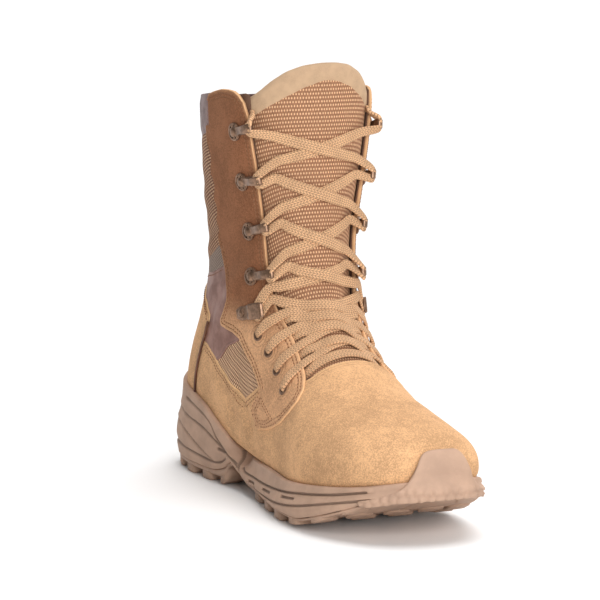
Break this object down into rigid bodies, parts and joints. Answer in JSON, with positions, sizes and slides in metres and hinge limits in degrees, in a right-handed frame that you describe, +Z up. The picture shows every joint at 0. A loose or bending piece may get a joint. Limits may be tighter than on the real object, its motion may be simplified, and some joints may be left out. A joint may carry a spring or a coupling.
{
  "type": "combat boot",
  "caption": "Right combat boot of tan suede and woven cloth, with a padded tongue, eyelets and lace loops, and a lugged rubber sole that wraps up over the toe.",
  "frame": {"origin": "on the floor, in the middle of the flat lug under the centre of the heel", "axes": "+X towards the toe, +Y towards the inner side of the right foot, +Z up"},
  "size_m": [0.3146, 0.1062, 0.264],
  "materials": {
    "suede": "matt napped suede",
    "foam": "matt moulded foam rubber",
    "rubber": "matt moulded rubber",
    "lining": "matt knitted lining",
    "weave": "matt woven cloth",
    "gunmetal": "satin gunmetal",
    "lace": "matt braided flat lace"
  },
  "bodies": {
    "root": {"upper": "suede", "midsole": "foam", "outsole": "rubber", "insole": "lining", "tongue": "weave", "eyelet_outer_1": "gunmetal", "eyelet_inner_1": "gunmetal", "eyelet_outer_2": "gunmetal", "eyelet_inner_2": "gunmetal", "eyelet_outer_3": "gunmetal", "eyelet_inner_3": "gunmetal", "eyelet_outer_4": "gunmetal", "eyelet_inner_4": "gunmetal", "lock_outer_5": "gunmetal", "lock_inner_5": "gunmetal", "loop_outer_6": "gunmetal", "loop_inner_6": "gunmetal", "loop_outer_7": "gunmetal", "loop_inner_7": "gunmetal", "loop_outer_8": "gunmetal", "loop_inner_8": "gunmetal", "loop_outer_9": "gunmetal", "loop_inner_9": "gunmetal", "lace_crossing_1": "lace", "lace_crossing_2": "lace", "lace_crossing_3": "lace", "lace_crossing_4": "lace", "lace_crossing_5": "lace", "lace_crossing_6": "lace", "lace_crossing_7": "lace", "lace_crossing_8": "lace", "lace_bar": "lace"}
  },
  "joints": []
}
